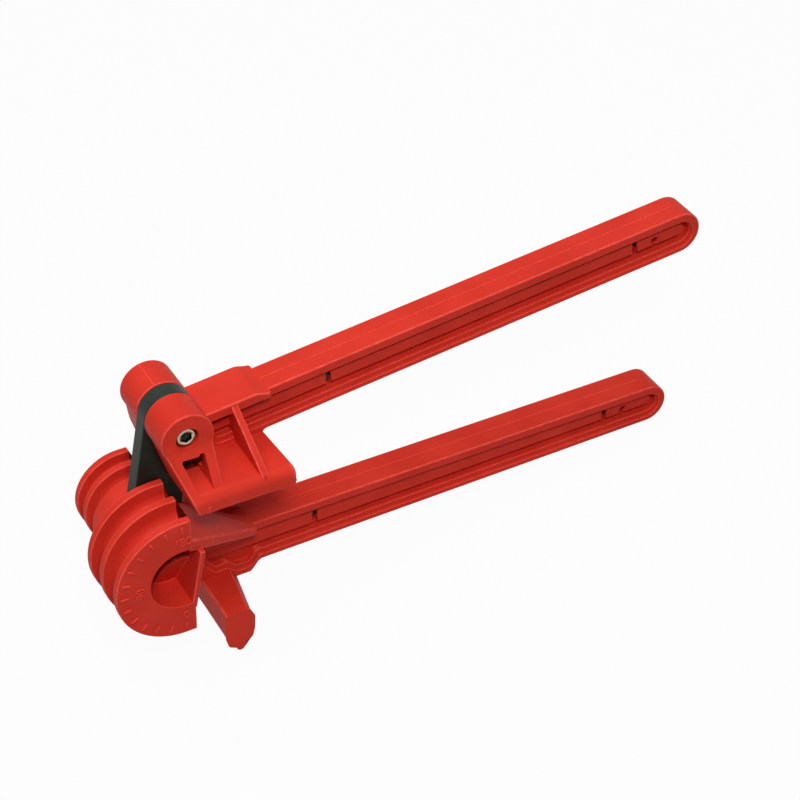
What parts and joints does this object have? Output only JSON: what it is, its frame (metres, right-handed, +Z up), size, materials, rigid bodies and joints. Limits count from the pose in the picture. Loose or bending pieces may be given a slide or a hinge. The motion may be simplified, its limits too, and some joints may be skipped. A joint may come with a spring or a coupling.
{
  "type": "tube bender",
  "caption": "Hand tube bender: a grooved half-round former and hook on one lever, and a shoe on a second lever that a link swings round the former.",
  "frame": {"origin": "middle of the closed tool, on the surface that its hook's foot and lower handle tip stand on", "axes": "+X along the handles towards their ends, +Y along the former's axis from the degree scale, +Z up"},
  "size_m": [0.2844, 0.0628, 0.1165],
  "materials": {
    "red_moulding": "satin moulded, red",
    "black_link": "black coated, satin",
    "core_steel": "mill finish",
    "bush_bronze": "sintered bronze",
    "bright_steel": "bright plated"
  },
  "bodies": {
    "base": {"near_former": "red_moulding", "far_former": "red_moulding", "near_bridge": "red_moulding", "far_bridge": "red_moulding", "near_hook": "red_moulding", "far_hook": "red_moulding", "lower_head": "red_moulding", "lower_handle": "red_moulding", "lower_handle_core": "core_steel", "centre_pivot_bolt": "bright_steel", "centre_pivot_nut": "bright_steel", "centre_pivot_washer": "bright_steel"},
    "link": {"link_plate": "black_link", "lower_link_bush": "bush_bronze", "upper_link_bush": "bush_bronze"},
    "upper": {"near_shoe": "red_moulding", "far_shoe": "red_moulding", "upper_handle": "red_moulding", "upper_handle_core": "core_steel", "upper_pivot_bolt": "bright_steel", "upper_pivot_nut": "bright_steel", "upper_pivot_washer": "bright_steel"}
  },
  "joints": [
    {"name": "link_swing", "type": "hinge", "parent": "base", "child": "link", "pos_m": [-0.11396, 0.00128, 0.05049], "axis": [0, -1, 0], "range_deg": [0, 180]},
    {"name": "upper_lever_swing", "type": "hinge", "parent": "link", "child": "upper", "pos_m": [-0.0982, 0.00128, 0.10558], "axis": [0, -1, 0], "range_deg": [0, 100]}
  ]
}
